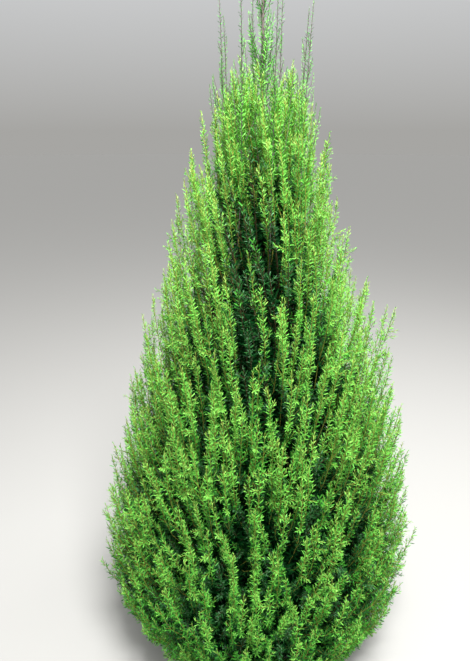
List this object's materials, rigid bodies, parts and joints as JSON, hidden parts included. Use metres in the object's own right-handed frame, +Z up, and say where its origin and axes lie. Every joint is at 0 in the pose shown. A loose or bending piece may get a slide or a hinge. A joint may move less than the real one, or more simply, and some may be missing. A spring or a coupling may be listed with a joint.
{
  "type": "pyramidal yew",
  "caption": "Pyramidal yew tree: a tapering trunk with a root flare, boughs that sweep up from it, and dense masses of needle sprays that narrow to slender leader shoots.",
  "frame": {"origin": "centre of the trunk's flat cut at ground level", "axes": "+Z up along the trunk, -Y towards the viewer of the picture, +X to the viewer's right"},
  "size_m": [1.0537, 1.0575, 2.06],
  "materials": {
    "bark": "rough, reddish grey-brown",
    "needles": "matt green needles",
    "young_needles": "bright young needles"
  },
  "bodies": {
    "root": {"leader_foliage_1": "young_needles", "leader_foliage_2": "young_needles", "leader_foliage_3": "young_needles", "lower_bough_1": "bark", "lower_bough_2": "bark", "lower_bough_3": "bark", "lower_bough_4": "bark", "lower_bough_5": "bark", "lower_bough_6": "bark", "lower_bough_7": "bark", "lower_mass_1": "needles", "lower_mass_2": "needles", "lower_mass_3": "needles", "lower_mass_4": "needles", "lower_mass_5": "needles", "lower_mass_6": "needles", "lower_mass_7": "needles", "middle_bough_1": "bark", "middle_bough_2": "bark", "middle_bough_3": "bark", "middle_bough_4": "bark", "middle_bough_5": "bark", "middle_mass_1": "needles", "middle_mass_2": "needles", "middle_mass_3": "needles", "middle_mass_4": "needles", "middle_mass_5": "needles", "skirt_bough_1": "bark", "skirt_bough_2": "bark", "skirt_bough_3": "bark", "skirt_bough_4": "bark", "skirt_bough_5": "bark", "skirt_bough_6": "bark", "skirt_bough_7": "bark", "skirt_mass_1": "needles", "skirt_mass_2": "needles", "skirt_mass_3": "needles", "skirt_mass_4": "needles", "skirt_mass_5": "needles", "skirt_mass_6": "needles", "skirt_mass_7": "needles", "top_mass_1": "young_needles", "top_mass_2": "young_needles", "top_mass_3": "young_needles", "top_mass_4": "young_needles", "trunk": "bark", "upper_bough_1": "bark", "upper_bough_2": "bark", "upper_bough_3": "bark", "upper_bough_4": "bark", "upper_bough_5": "bark", "upper_mass_1": "needles", "upper_mass_2": "needles", "upper_mass_3": "needles", "upper_mass_4": "needles", "upper_mass_5": "needles", "whorl_shoot_1": "young_needles", "whorl_shoot_2": "young_needles", "whorl_shoot_3": "young_needles", "whorl_shoot_4": "young_needles"}
  },
  "joints": []
}
